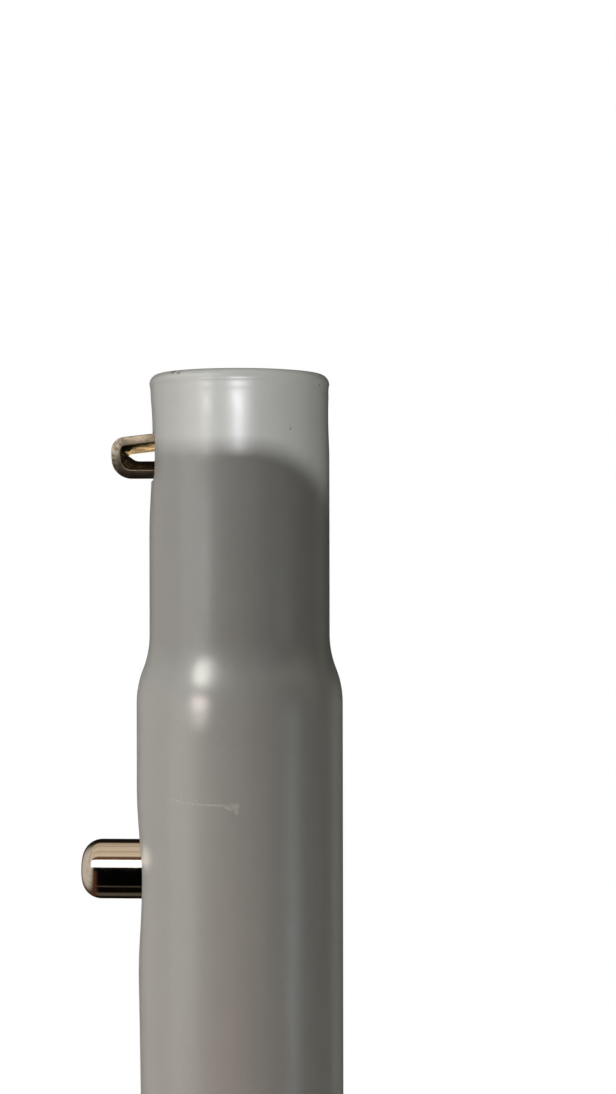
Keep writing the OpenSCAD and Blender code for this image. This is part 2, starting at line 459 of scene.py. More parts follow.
BUTTON_GAP = 0.5 * MM  # radial gap round the button in its hole
SLOT_DROP = 0.12 * MM  # the slot's centre below the loop's own, as the lower limb is canted more
FINE_RING = 0.8 * MM  # spacing of the tube's rings where the openings and dents lie
FINEST_RING = 0.2 * MM
COARSE_RING = 2.4 * MM
WAIST_DROP = 5 * MM  # how far below the rim the spigot is narrowest
WAIST_SPREAD = 5.5 * MM
LIP_DROP = 2.0 * MM  # how far below the rim the shallow groove under its lip lies
LIP_SPREAD = 0.8 * MM
LIP_DEPTH = 0.035 * MM
SLOT_FLARE = 0.2 * MM  # rounding of the openings' rims
SOCKET_FLARE = 0.3 * MM
HOLE_FLARE = 0.35 * MM


def tube_radii(sizes):
    """Bore, socket, spigot and spigot bore radius, as they follow from the walls and the clearance."""
    bore = TUBE_RADIUS - sizes.wall
    socket = TUBE_RADIUS - sizes.socket_wall
    spigot = socket - sizes.clearance
    return bore, socket, spigot, spigot - sizes.wall


def neck_arc(sizes, step):
    """Radius and turn of the two equal tangent arcs that make the neck."""
    turn = 2 * math.atan(step / sizes.neck)
    return sizes.neck / (2 * math.sin(turn)), math.degrees(turn)


def tube_profile(sizes):
    """The tube's closed section, as radius and height: up the outside, over the rim and down the bore."""
    bore, socket, spigot, spigot_bore = tube_radii(sizes)
    neck_top = TUBE_LENGTH - sizes.spigot
    neck_base = neck_top - sizes.neck
    radius, turn = neck_arc(sizes, TUBE_RADIUS - spigot)
    small = sizes.edge_round
    rim = sizes.rim_round
    fine_from = TUBE_LENGTH / 3
    socket_top = fine_from / 2
    outside = [Vector((socket + small, 0))]
    outside += arc((TUBE_RADIUS - small, small), small, -90, 0, 5)
    outside += straight((TUBE_RADIUS, small), (TUBE_RADIUS, socket_top), FINE_RING)
    outside += straight((TUBE_RADIUS, socket_top), (TUBE_RADIUS, fine_from), COARSE_RING)
    outside += straight((TUBE_RADIUS, fine_from), (TUBE_RADIUS, neck_base), FINE_RING)
    outside += arc((TUBE_RADIUS - radius, neck_base), radius, 0, turn, 14)
    outside += arc((spigot + radius, neck_top), radius, 180 + turn, 180, 14)
    lip_base = TUBE_LENGTH - LIP_DROP - LIP_SPREAD
    wall = straight((spigot, neck_top), (spigot, lip_base), FINE_RING)
    wall += straight((spigot, lip_base), (spigot, TUBE_LENGTH - rim), FINEST_RING)
    outside += waisted(wall, sizes)
    outside += arc((spigot - rim, TUBE_LENGTH - rim), rim, 0, 90, 14)
    inside = [Vector((spigot_bore + small / 2, TUBE_LENGTH))]
    inside += straight((spigot_bore, TUBE_LENGTH - small), (spigot_bore, neck_top), COARSE_RING)
    inside += arc((spigot_bore + radius + sizes.wall, neck_top), radius + sizes.wall, 180, 180 + turn, 8)
    inside += arc((bore - radius + sizes.wall, neck_base), radius - sizes.wall, turn, 0, 8)
    inside += straight((bore, neck_base), (bore, sizes.socket_depth), COARSE_RING)
    inside += straight((socket, sizes.socket_depth), (socket, small), COARSE_RING)
    inside += arc((socket + small, small), small, 180, 270, 4)
    return [(point.x, point.y, 0) for point in outside + inside]


def waisted(points, sizes):
    """Draw the spigot in a little below its rim, with a shallow groove under the lip."""
    for point in points:
        below = TUBE_LENGTH - point.y
        waist = max(0, 1 - ((below - WAIST_DROP) / WAIST_SPREAD) ** 2)
        groove = max(0, 1 - ((below - LIP_DROP) / LIP_SPREAD) ** 2)
        point.x -= sizes.waist * waist ** 2 + LIP_DEPTH * groove ** 2
    return points


def rounded_rectangle(width, height, corner, grow):
    """The outline of a slot, grown by an offset, as points (across, up)."""
    across = width / 2 - corner
    up = height / 2 - corner
    radius = corner + grow
    points = []
    for quarter, (y, z) in enumerate(((across, up), (-across, up), (-across, -up), (across, -up))):
        points += arc((y, z), radius, 90 * quarter, 90 * quarter + 90, 6)
        turn = math.radians(90 * quarter + 90)
        end = Vector((y + radius * math.cos(turn), z + radius * math.sin(turn)))
        run = 2 * (up if quarter % 2 else across)
        points += straight(end, end + run * Vector((-math.sin(turn), math.cos(turn))), 0.5 * MM)
    return points


def disc_outline(radius, grow):
    """The outline of a round hole, grown by an offset."""
    return arc((0, 0), radius + grow, 0, 360, 72)


def flared_cutter(name, outline, height, wall_radius, flare):
    """A plug that opens the -X wall and flares as it leaves it, which rounds the hole's rim."""
    depths = [flare * (1 - math.cos(math.radians(a))) for a in (90, 66, 46, 30, 17, 7)]
    rings = [(None, 0)] + [(d, flare - math.sqrt(flare ** 2 - (flare - d) ** 2)) for d in depths]
    rings.append((-2 * MM, rings[-1][1]))
    mesh = bmesh.new()
    loops = []
    for depth, grow in rings:
        loop = []
        for y, z in outline(grow):
            surface = -math.sqrt(wall_radius ** 2 - y ** 2)
            x = -wall_radius / 4 if depth is None else surface + depth
            loop.append(mesh.verts.new((x, y, z + height)))
        loops.append(loop)
    for inner, outer in zip(loops, loops[1:]):
        for i in range(len(inner)):
            j = (i + 1) % len(inner)
            mesh.faces.new((outer[i], outer[j], inner[j], inner[i]))
    mesh.faces.new(loops[0])
    mesh.faces.new(reversed(loops[-1]))
    return mesh_object(name, mesh)


def make_tube(sizes, spring):
    """The swaged tube with its two slots, its button hole and the dents that use has left round them."""
    spigot, spigot_bore = tube_radii(sizes)[2:]
    radius = neck_arc(sizes, TUBE_RADIUS - spigot)[0]
    loop_z = TUBE_LENGTH - spring.loop_drop
    seat_run = radius * math.sin(math.acos(1 - sizes.clearance / radius))
    socket_slot_z = sizes.spigot + seat_run - spring.loop_drop

    def slot(grow):
        return rounded_rectangle(sizes.slot_width, sizes.slot_height, sizes.slot_corner, grow)

    def hole(grow):
        return disc_outline(BUTTON_RADIUS + BUTTON_GAP, grow)

    cutters = {
        "Loop Slot": flared_cutter("loop_slot_cutter", slot, loop_z - SLOT_DROP, spigot, SLOT_FLARE),
        "Socket Slot": flared_cutter("socket_slot_cutter", slot, socket_slot_z, TUBE_RADIUS, SOCKET_FLARE),
        "Button Hole": flared_cutter("button_hole_cutter", hole, BUTTON_Z, TUBE_RADIUS, HOLE_FLARE),
    }
    dents = (
        # height, (spread across, spread up), depth, radius from which the wall moves
        (loop_z + 0.5 * MM, (9 * MM, 11 * MM), 0.36 * MM, (spigot + spigot_bore) / 2),
        (BUTTON_Z - 1.5 * MM, (9 * MM, 13 * MM), 0.62 * MM, 0.0),
        (BUTTON_Z - 38 * MM, (11 * MM, 48 * MM), 0.5 * MM, 0.0),
    )
    profile = poly_curve("tube_shell", tube_profile(sizes), closed=True)
    values = {"Steps Around": sizes.steps_around, "Material": powder_coat(sizes, spring), **cutters}
    shell = run_tree(profile, tube_tree(dents), values)
    for cutter in cutters.values():
        bpy.data.meshes.remove(cutter.data)
    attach(shell, "tube")
    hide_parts("mast_tube")


# --- Spring ---

BEND_STEP = 7  # degrees between the rings of a bend
STRAIGHT_STEP = 1.2 * MM
HOLE_GAP = 0.05 * MM  # radial gap round the stem in the strip


def bent_path(start, heading, steps):
    """Points in X and Z along a path: each step is (straight run, turn to the left in degrees, radius)."""
    place = Vector(start)
    points = [place.copy()]
    for run, turn, radius in steps:
        direction = Vector((math.cos(math.radians(heading)), math.sin(math.radians(heading))))
        if run:
            points += straight(place, place + direction * run, STRAIGHT_STEP)[1:]
            place = place + direction * run
            points.append(place.copy())
        if turn:
            side = 1 if turn > 0 else -1
            centre = place + side * radius * Vector((-direction.y, direction.x))
            first = heading - 90 * side
            count = math.ceil(abs(turn) / BEND_STEP)
            points += arc(centre, radius, first, first + turn, count)[1:]
            heading += turn
            last = math.radians(heading - 90 * side)
            place = centre + radius * Vector((math.cos(last), math.sin(last)))
            points.append(place.copy())
    return [(point.x, 0, point.y) for point in points]


def strip_values(sizes, material):
    """The inputs that both stretches of the strip share."""
    return {
        "Width": BEND_HIGH.y - BEND_LOW.y,
        "Thickness": sizes.thickness,
        "Edge Round": sizes.edge_round,
        "Lower Cant": 0.0,
        "Upper Cant": 0.0,
        "Cant Centre": (0, 0, TUBE_LENGTH),
        "Cant Start": TUBE_LENGTH,
        "Cant Full": TUBE_LENGTH + MM,
        "End Height": TUBE_LENGTH,
        "End Corner": sizes.leg_corner,
        "Hole Radius": sizes.edge_round,
        "Hole Place": (0, 0, -TUBE_LENGTH),
        "Material": material,
    }


def make_hairpin(sizes, tree, material):
    """The back leg and the hairpin bend, one strip that stays with the tube."""
    half = sizes.thickness / 2
    bend_radius = (BEND_HIGH.x - BEND_LOW.x) / 2 - half
    points = bent_path(
        (BEND_LOW.x + half, BACK_LOW.z), -90, [(0, 180, bend_radius), (BACK_HIGH.z - BACK_LOW.z, 0, 0)]
    )
    corner = sizes.leg_corner
    top = points.pop()
    points = [point for point in points if point[2] < BACK_HIGH.z - corner]
    rings = [math.sin(math.radians(a)) for a in range(0, 90, 10)] + [0.998]
    points += [(top[0], 0, top[2] - corner + corner * ring) for ring in rings]
    points.append(top)
    values = strip_values(sizes, material)
    values["End Height"] = BACK_HIGH.z + 0.01 * MM
    spring = run_tree(poly_curve("hairpin_spring", points, closed=False), tree, values)
    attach(spring, "tube")
    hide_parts("spring_back_leg", "spring_bend")


def make_latch_strip(sizes, tree, material, tube, button):
    """The front leg, which carries the button and ends in the latch loop."""
    spigot, spigot_bore = tube_radii(tube)[2:]
    half = sizes.thickness / 2
    front = BEND_LOW.x
    loop_z = TUBE_LENGTH - sizes.loop_drop
    heel_z = loop_z - sizes.loop_height / 2 - sizes.heel
    fall = math.tan(sizes.slope)
    upper_u = NOSE_REACH - sizes.nose_upper
    upper_v = sizes.loop_height / 2 - (upper_u - spigot) * fall - sizes.nose_upper / math.cos(sizes.slope)
    lower = upper_v + sizes.loop_height / 2
    lower_run = NOSE_REACH - lower + front - sizes.heel
    upper_run = (upper_u - spigot_bore + sizes.tail) / math.cos(sizes.slope)
    turn = math.degrees(sizes.slope) - 90
    points = bent_path(
        (front + half, LEG_LOW.z), 90,
        [
            (heel_z - LEG_LOW.z, 90, sizes.heel + half),
            (lower_run, -90, lower - half),
            (0, turn, sizes.nose_upper - half),
            (upper_run, 0, 0),
        ],
    )
    values = strip_values(sizes, material)
    values.update(
        {
            "Lower Cant": sizes.lower_cant,
            "Upper Cant": -sizes.upper_cant,
            "Cant Centre": (0, 0, loop_z),
            "Cant Start": heel_z - 6 * MM,
            "Cant Full": heel_z,
            "Hole Radius": button.stem_radius + HOLE_GAP,
            "Hole Place": (front + half, 0, BUTTON_Z),
        }
    )
    strip = run_tree(poly_curve("latch_strip", points, closed=False), tree, values)
    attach(strip, "latch")
    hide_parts("latch_leg")


# --- Button ---

BUTTON_STEPS = 160


def button_profile(sizes, strip_thickness):
    """The button's section from its riveted head to its crown, as radius and height above the strip."""
    reach = BUTTON_TIP + BEND_LOW.x
    small = 0.15 * MM
    head = sizes.rivet_radius
    stem = sizes.stem_radius
    rise = sizes.rivet_height
    dome = (head ** 2 + rise ** 2) / (2 * rise)
    dome_turn = math.degrees(math.asin(head / dome))
    base = -strip_thickness
    corner = sizes.edge_round
    corner_r = BUTTON_RADIUS - corner
    crown_centre = reach - sizes.crown
    corner_z = crown_centre + math.sqrt((sizes.crown - corner) ** 2 - corner_r ** 2)
    crown_turn = math.degrees(math.asin(corner_r / (sizes.crown - corner)))
    points = arc((0, base - rise + dome), dome, -90, -90 + dome_turn, 14)
    points += [Vector((head, base)), Vector((stem, base)), Vector((stem, 0))]
    points += arc((BUTTON_RADIUS - small, small), small, -90, 0, 4)
    points += straight((BUTTON_RADIUS, small), (BUTTON_RADIUS, corner_z), 1.5 * MM)
    points += arc((corner_r, corner_z), corner, 0, 90 - crown_turn, 20)
    points += arc((0, crown_centre), sizes.crown, 90 - crown_turn, 90, 10)
    points.append(Vector((0, reach)))
    return [(point.x, point.y, 0) for point in points]


def make_button(sizes, strip_thickness):
    """The turned button, with its stem riveted through the strip."""
    profile = poly_curve("latch_button", button_profile(sizes, strip_thickness), closed=False)
    values = {
        "Steps Around": BUTTON_STEPS,
        "Place": (BEND_LOW.x, 0, BUTTON_Z),
        "Material": bright_nickel(sizes),
    }
    button = run_tree(profile, turned_tree(), values)
    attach(button, "latch")
    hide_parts("push_button")


# --- Finishes ---


def new_material(name):
    """A material with one surface shader, and its object coordinates."""
    material = bpy.data.materials.new(name)
    material.use_nodes = True
    tree = material.node_tree
    shader = tree.nodes["Principled BSDF"]
    coordinates = add_node(tree, "ShaderNodeTexCoord")
    return material, tree, shader, coordinates.outputs["Object"]


def noise(tree, place, size, detail=2.0, stretch=(1, 1, 1)):
    """Noise in the object's own space, with features as long as the size, times the stretch."""
    scaled = vector_calc(tree, "MULTIPLY", place, tuple(1 / (size * s) for s in stretch))
    node = add_node(tree, "ShaderNodeTexNoise", {"Vector": scaled, "Scale": 1.0, "Detail": detail})
    return node.outputs["Fac"]


def weighted_sum(tree, start, *terms):
    """A start value with (value, weight) terms added to it."""
    for value, weight in terms:
        start = calc(tree, "MULTIPLY_ADD", value, weight, start)
    return start


def link_surface(tree, shader, surface, rough, relief):
    """Give the shader its colour, its roughness and a relief in millimetres."""
    bump = add_node(tree, "ShaderNodeBump", {"Height": relief, "Strength": 1.0, "Distance": MM})
    tree.links.new(surface, shader.inputs["Base Color"])
    tree.links.new(rough, shader.inputs["Roughness"])
    tree.links.new(bump.outputs["Normal"], shader.inputs["Normal"])


def blend(tree, factor, first, second):
    """A colour between two, by a factor."""
    node = add_node(tree, "ShaderNodeMix", {"Factor": factor, "A": first, "B": second}, data_type="RGBA")
    return node.outputs["Result"]


def shade(tree, colour_value, factor):
    """A colour made lighter or darker by a factor."""
    node = add_node(tree, "ShaderNodeVectorMath", {0: colour_value, "Scale": factor}, operation="SCALE")
    return node.outputs[0]


def stroke(tree, point, centre, tilt, half_length, half_width):
    """A mask for one mark on a surface: a soft bar at a place (across, up), tilted by degrees."""
    moved = vector_calc(tree, "SUBTRACT", point, (centre[0] * MM, centre[1] * MM, 0))
    turned = add_node(
        tree, "ShaderNodeVectorRotate", {"Vector": moved, "Angle": -math.radians(tilt)},
        rotation_type="Z_AXIS",
    )
    size = (1 / (half_length * MM), 1 / (half_width * MM), 0)
    scaled = vector_calc(tree, "MULTIPLY", turned.outputs[0], size)
    x, y = split(tree, vector_calc(tree, "ABSOLUTE", scaled))[:2]
    return remap(tree, calc(tree, "MAXIMUM", x, y), 1.0, 0.5)


def all_strokes(tree, point, strokes):
    """One mask for several marks."""
    mask = stroke(tree, point, *strokes[0])
    for values in strokes[1:]:
        mask = calc(tree, "MAXIMUM", mask, stroke(tree, point, *values))
    return mask


SPIGOT_PAINTED_SHADE = 0.8  # painted shade: how much darker the coat is drawn on the spigot

# Marks on the coat: (across from the front, up from the rim), tilt in degrees, half length, half width;
# lengths in millimetres, those across taken at the main tube's radius.
SCUFFS = (
    ((-6.2, -51.24), -6.6, 2.3, 0.19),
    ((-2.6, -51.46), -1, 2.3, 0.16),
    ((0.35, -51.6), 12, 0.75, 0.42),
    ((-0.3, -51.8), -22, 0.7, 0.3),
    ((0.55, -52.1), -62, 0.55, 0.3),
    ((-6.21, -50.5), 88, 0.7, 0.08),
    ((-4.18, -50.85), 86, 0.5, 0.07),
)
SCRATCHES = (
    ((-0.93, -41.84), -38, 1.15, 0.06),
    ((-1.59, -43.6), -40, 1.45, 0.07),
    ((-0.39, -44.05), -40, 0.32, 0.05),
)
SPECKS = (
    ((8.49, -7.16), 0, 0.16, 0.16),
    ((14.67, -1.64), 30, 0.3, 0.14),
    ((16.5, -2.74), 60, 0.34, 0.12),
    ((-9.64, -0.25), -10, 0.5, 0.3),
    ((-8.25, -0.45), 15, 0.35, 0.22),
)


def powder_coat(sizes, spring):
    """Satin powder coat over steel: a warm grey, even but for painted shade that darkens it on the spigot,
    with a fine orange peel, a few scuffs, scratches and chips, grime at the openings, and bare steel down the
    bore."""
    material, tree, shader, place = new_material("satin_grey_powder_coat")
    socket, spigot, spigot_bore = tube_radii(sizes)[1:]
    x, y, z = split(tree, place)
    neck_top = TUBE_LENGTH - sizes.spigot
    neck_base = neck_top - sizes.neck
    around = calc(tree, "ARCTAN2", x, calc(tree, "MULTIPLY", y, -1.0))
    across = calc(tree, "MULTIPLY", around, TUBE_RADIUS)
    up = calc(tree, "SUBTRACT", z, TUBE_LENGTH)
    point = add_node(tree, "ShaderNodeCombineXYZ", {"X": across, "Y": up}).outputs[0]

    # Masks.
    broken = remap(tree, noise(tree, place, 0.35 * MM, 3.0), 0.3, 0.5)
    lining = calc(
        tree, "LESS_THAN", off_axis(tree, x, y),
        remap(tree, z, neck_base, neck_top, socket + 0.05 * MM, spigot_bore + 0.4 * MM),
    )
    scuffed = calc(tree, "MULTIPLY", all_strokes(tree, point, SCUFFS), broken)
    scratched = calc(tree, "MULTIPLY", all_strokes(tree, point, SCRATCHES), broken)
    specked = all_strokes(tree, point, SPECKS)
    side = -math.pi / 2 * TUBE_RADIUS / MM
    slot_across = sizes.slot_width / 2 / MM * TUBE_RADIUS / spigot
    slot_up = sizes.slot_height / 2 / MM
    openings = (
        ((side, -spring.loop_drop / MM), 0, slot_across + 0.9, slot_up + 0.9),
        ((side, (BUTTON_Z - TUBE_LENGTH) / MM), 0, BUTTON_RADIUS / MM + 1.1, BUTTON_RADIUS / MM + 1.1),
    )
    grimy = calc(
        tree, "MULTIPLY", all_strokes(tree, point, openings),
        remap(tree, noise(tree, place, 1.4 * MM, 4.0), 0.42, 0.62),
    )
    rim = remap(tree, z, TUBE_LENGTH - 0.9 * MM, TUBE_LENGTH - 0.15 * MM)
    chipped = calc(tree, "MULTIPLY", rim, remap(tree, noise(tree, place, 0.9 * MM, 4.0), 0.66, 0.7))
    bare = calc(tree, "MAXIMUM", lining, chipped)

    # Colour.
    cloud = noise(tree, place, 22 * MM, 3.0)
    mottle = noise(tree, place, 2.6 * MM, 3.0)
    fine = noise(tree, place, 0.3 * MM, 2.0)
    drawn = noise(tree, place, 1.5 * MM, 3.0, stretch=(1, 1, 16))
    tone = weighted_sum(tree, 0.875, (cloud, 0.07), (mottle, 0.05), (fine, 0.06), (drawn, 0.07))
    # Painted shade: the coat is drawn darker from the neck up over the spigot.
    tone = calc(tree, "MULTIPLY", tone, remap(tree, z, neck_base, neck_top, 1.0, SPIGOT_PAINTED_SHADE))
    coat = shade(tree, tuple(sizes.coat_colour), tone)
    marks = (
        (scuffed, 0.9, "BDBBB5"),
        (scratched, 0.8, "B9B7B1"),
        (specked, 0.8, "5E5347"),
        (grimy, 0.4, "76716A"),
    )
    for mask, strength, hex_code in marks:
        coat = blend(tree, calc(tree, "MULTIPLY", mask, strength), coat, rgba(hex_code))
    surface = blend(tree, bare, coat, rgba("8F8A82"))

    # Roughness and relief.
    rough = remap(tree, mottle, 0.3, 0.7, 0.33, 0.38)
    rough = weighted_sum(tree, rough, (scuffed, 0.2), (bare, 0.1))
    peel = noise(tree, place, 1.1 * MM, 1.0)
    wave = noise(tree, place, 9 * MM, 1.0)
    relief = weighted_sum(
        tree, 0.0, (peel, 0.006), (wave, 0.06), (fine, 0.002), (scuffed, -0.02), (scratched, -0.02),
        (chipped, -0.06),
    )
    link_surface(tree, shader, surface, rough, relief)
    tree.links.new(bare, shader.inputs["Metallic"])
    return material


def spring_nickel(sizes):
    """Satin nickel on rolled spring steel: brownish metal with lines along the strip, mottled tarnish
    and rougher, pitted sheared edges whose faces are drawn lighter as painted sheen."""
    material, tree, shader, place = new_material("satin_nickel_spring_steel")
    x, y = split(tree, place)[:2]
    lines = noise(tree, place, 0.14 * MM, 3.0, stretch=(60, 1, 60))
    tarnish = noise(tree, place, 1.1 * MM, 4.0)
    pits = noise(tree, place, 0.3 * MM, 3.0)
    half_width = (BEND_HIGH.y - BEND_LOW.y) / 2
    sheared_edge_and_sheen = remap(tree, calc(tree, "ABSOLUTE", y), half_width - 0.4 * MM, half_width - 0.2 * MM)
    metal = blend(
        tree, remap(tree, tarnish, 0.35, 0.65), (*sizes.strip_colour, 1),
        (*[c * 0.66 for c in sizes.strip_colour], 1),
    )
    metal = shade(tree, metal, calc(tree, "MULTIPLY_ADD", lines, 0.3, 0.85))
    # Painted sheen: the strip's edge faces are drawn up to about a fifth lighter, as though more lit.
    metal = shade(tree, metal, calc(tree, "MULTIPLY_ADD", sheared_edge_and_sheen, 0.22, 1.0))
    rubbed = calc(
        tree, "MULTIPLY", remap(tree, x, 1.6 * MM - NOSE_REACH, 0.3 * MM - NOSE_REACH),
        remap(tree, noise(tree, place, 0.5 * MM, 3.0), 0.42, 0.58),
    )
    metal = blend(tree, calc(tree, "MULTIPLY", rubbed, 0.75), metal, rgba("D2CAB8"))
    metal = blend(tree, remap(tree, pits, 0.6, 0.68, 0.0, 0.6), metal, rgba("4A4034"))
    rough = remap(tree, tarnish, 0.3, 0.7, 0.2, 0.34)
    rough = weighted_sum(tree, rough, (lines, 0.08), (sheared_edge_and_sheen, 0.1))
    relief = weighted_sum(tree, 0.0, (lines, 0.002), (calc(tree, "MULTIPLY", pits, sheared_edge_and_sheen), 0.02))
    link_surface(tree, shader, metal, rough, relief)
    shader.inputs["Metallic"].default_value = 1.0
    return material


def bright_nickel(sizes):
    """Polished nickel plate on a turned button: a warm mirror with faint turning lines and a scuffed,
    duller end."""
    material, tree, shader, place = new_material("polished_nickel_plate")
    from_tip = calc(tree, "ADD", split(tree, place)[0], BUTTON_TIP)
    lines = noise(tree, place, 0.09 * MM, 3.0, stretch=(1, 90, 90))
    wear = noise(tree, place, 0.8 * MM, 4.0)
    slanted = add_node(
        tree, "ShaderNodeVectorRotate", {"Vector": place, "Angle": math.radians(35)}, rotation_type="X_AXIS"
    )
    scuffs = noise(tree, slanted.outputs[0], 0.12 * MM, 3.0, stretch=(12, 1, 12))
    edge = calc(tree, "MULTIPLY_ADD", wear, 0.8 * MM, 1.3 * MM)
    end = calc(tree, "LESS_THAN", from_tip, edge)
    metal = shade(tree, tuple(sizes.nickel_colour), calc(tree, "MULTIPLY_ADD", lines, 0.12, 0.92))
    scuffed = calc(tree, "MULTIPLY", end, remap(tree, scuffs, 0.5, 0.66, 0.0, 0.5))
    metal = blend(tree, scuffed, metal, rgba("A09A92"))
    rough = weighted_sum(tree, remap(tree, wear, 0.3, 0.7, 0.05, 0.1), (end, 0.12))
    relief = weighted_sum(tree, 0.0, (lines, 0.0006), (calc(tree, "MULTIPLY", scuffs, end), 0.0025))
    link_surface(tree, shader, metal, rough, relief)
    shader.inputs["Metallic"].default_value = 1.0
    return material


def floor_finish():
    """A matt pale studio floor with a faint paper grain."""
    material, tree, shader, place = new_material("matt_pale_floor")
    surface = blend(tree, noise(tree, place, 160 * MM, 4.0), rgba("E4E3E0"), rgba("EEEDEB"))
    grain = remap(tree, noise(tree, place, 1.2 * MM, 3.0), 0.3, 0.7, 0.0, 0.35)
    tree.links.new(blend(tree, grain, surface, rgba("DCDBD7")), shader.inputs["Base Color"])
    shader.inputs["Roughness"].default_value = 0.8
    return material


# --- Stage ---

AIM_HEIGHT = 165 * MM  # the lamps face this point of the tube's axis

# name: (azimuth, elevation, distance, width, height, colour, power), in degrees, millimetres and watts;
# a lamp that ends in True only shows as a streak of sheen.
# Azimuth 0 is in front of the tube, where the camera stands, and grows towards its right.
LAMPS = {
    "window": (-60, 0, 700, 400, 600, "FFFDFC", 1.22),
    "window_edge": (-45, 0, 700, 30, 500, "F0FFF9", 0.2),
    "high_panel": (-45, 42, 700, 400, 300, "F1FAFF", 1.97),
    "high_left": (-95, 42, 700, 400, 300, "FFECE9", 0.7),
    "overhead": (0, 85, 700, 500, 500, "FFF7DD", 0.61),
    "right_low_strip": (64, -13, 700, 50, 170, "DBF7FF", 0.35),
    "warm_bounce": (-10, -35, 235, 160, 80, "FF8800", 0.038),
    "back_right": (128, 0, 700, 200, 600, "FFECD2", 0.116),
    "front_lamp": (3.4, 1.2, 1500, 14, 14, "F8FBFF", 19.5),
    "front_left_lamp": (-38, 1.25, 1500, 14, 14, "FFFBF0", 7, True),
}

# Narrow spot lamps, each for one glint on the coat; one that ends in False lights the coat's colour too.
# name: (azimuth, elevation, turn of the lit place round the tube, its drop below the rim, cone, colour,
# power), in degrees, millimetres and watts.
GLINTS = {
    "spigot_streak": (-38, 0, -17, 23, 9, "FFFFFF", 0.12),
    "neck_glint": (-44, 30, -17, 35.0, 2.6, "FFFDF0", 1.25),
    "neck_base_glint": (-40, 3, -18.5, 40.2, 1.7, "FFF2EC", 1.1),
    "button_glint": (-75, 10, -59, 58.6, 0.7, "FFF8EC", 1.2, False),
}
GLINT_DISTANCE = 200
GLINT_SIZE = 0.8 * MM

METAL_LAMP = (-7, 26, 700, 1400, 362, "FFFFFF", 3.2)
STRIP_LAMP = (176, -13, 700, 260, 70, "FFDDA0", 0.32)

# A rounded card beside the camera shades all but the upper end of the tube from the front lamp.
CARD_DISTANCE = 250 * MM
CARD_TOP = 8.8 * MM  # below the rim
CARD_RIGHT = 25.2 * MM
CARD_CORNER = 9.5 * MM
CARD_WIDTH = 250 * MM
CARD_HEIGHT = 160 * MM


def make_floor(sizes, material):
    """A round floor that stays below the camera's view."""
    mesh = bmesh.new()
    bmesh.ops.create_circle(mesh, cap_ends=True, radius=sizes.floor_radius, segments=96)
    floor = mesh_object("floor", mesh)
    floor.data.materials.append(material)
    floor.visible_glossy = False


def make_card(material):
    """The card that shades the front lamp; only its shadow shows."""
    top = TUBE_LENGTH - CARD_TOP
    left = CARD_RIGHT - CARD_WIDTH
    corner = arc((CARD_RIGHT - CARD_CORNER, top - CARD_CORNER), CARD_CORNER, 0, 91, 12)
    outline = [Vector((CARD_RIGHT, top - CARD_HEIGHT)), *corner]
    outline += [Vector((left, top)), Vector((left, top - CARD_HEIGHT))]
    mesh = bmesh.new()
    mesh.faces.new([mesh.verts.new((x, -CARD_DISTANCE, z)) for x, z in outline])
    card = mesh_object("shade_card", mesh)
    card.data.materials.append(material)
    card.visible_camera = False
    card.visible_glossy = False
    card.visible_diffuse = False


def place_lamp(data, target, azimuth, elevation, distance, hex_code, power, sheen_only):
    """Add a lamp that faces a point and stays out of the camera's view."""
    data.color = linear(hex_code)
    data.energy = power
    lamp = link_object(data.name, data)
    turn = math.radians(azimuth)
    rise = math.radians(elevation)
    toward = Vector((math.sin(turn) * math.cos(rise), -math.cos(turn) * math.cos(rise), math.sin(rise)))
    lamp.location = target + distance * MM * toward
    lamp.rotation_euler = (math.pi / 2 - rise, 0, turn)
    lamp.visible_camera = False
    lamp.visible_diffuse = not sheen_only
    return lamp


def make_lamp(name, azimuth, elevation, distance, width, height, hex_code, power, sheen_only=False):
    """A soft rectangular lamp that faces the tube."""
    data = bpy.data.lights.new(name, "AREA")
    data.shape = "RECTANGLE"
    data.size = width * MM
    data.size_y = height * MM
    aim = Vector((0, 0, AIM_HEIGHT))
    return place_lamp(data, aim, azimuth, elevation, distance, hex_code, power, sheen_only)


def make_glint(name, azimuth, elevation, place_turn, drop, cone, hex_code, power, sheen_only=True):
    """A narrow spot lamp that lights one place on the tube."""
    data = bpy.data.lights.new(name, "SPOT")
    data.spot_size = math.radians(cone)
    data.spot_blend = 1.0
    data.shadow_soft_size = GLINT_SIZE
    place = math.radians(place_turn)
    spot = Vector((TUBE_RADIUS * math.sin(place), -TUBE_RADIUS * math.cos(place), TUBE_LENGTH - drop * MM))
    return place_lamp(data, spot, azimuth, elevation, GLINT_DISTANCE, hex_code, power, sheen_only)


def light_only(lamps, name, targets):
    """Let the lamps light the named objects and no others."""
    receivers = bpy.data.collections.new(name)
    for target in targets:
        receivers.objects.link(bpy.data.objects[target])
    for lamp in lamps:
        lamp.light_linking.receiver_collection = receivers


# The dim studio as reflections see it: (degrees up from the front horizon and over the top, colour).
STUDIO_BANDS = (
    (-180, "1A1714"),
    (-124, "1A1714"),
    (-119, "5A5448"),
    (-101, "5A5448"),
    (-97, "0A0908"),
    (-68, "0A0908"),
    (-66, "4E483E"),
    (-63, "4E483E"),
    (-61, "050404"),
    (3, "030303"),
    (38, "030303"),
    (41, "6A513A"),
    (54, "6A513A"),
    (58, "EADBC6"),
    (76, "D2C2AA"),
    (78, "9A8468"),
    (80, "DCCFBA"),
    (101, "DCCFBA"),
    (103, "9A8468"),
    (105, "D0C3AC"),
    (124, "B8AA92"),
    (129, "1C1611"),
    (180, "1A1714"),
)

# What reflections see to the left of the object: brown low down, then pale.
STUDIO_LOW_LEFT = "503628"
STUDIO_LEFT = "D8D0C4"
STUDIO_DIM = "3C3C3A"  # what lights matt surfaces from all round


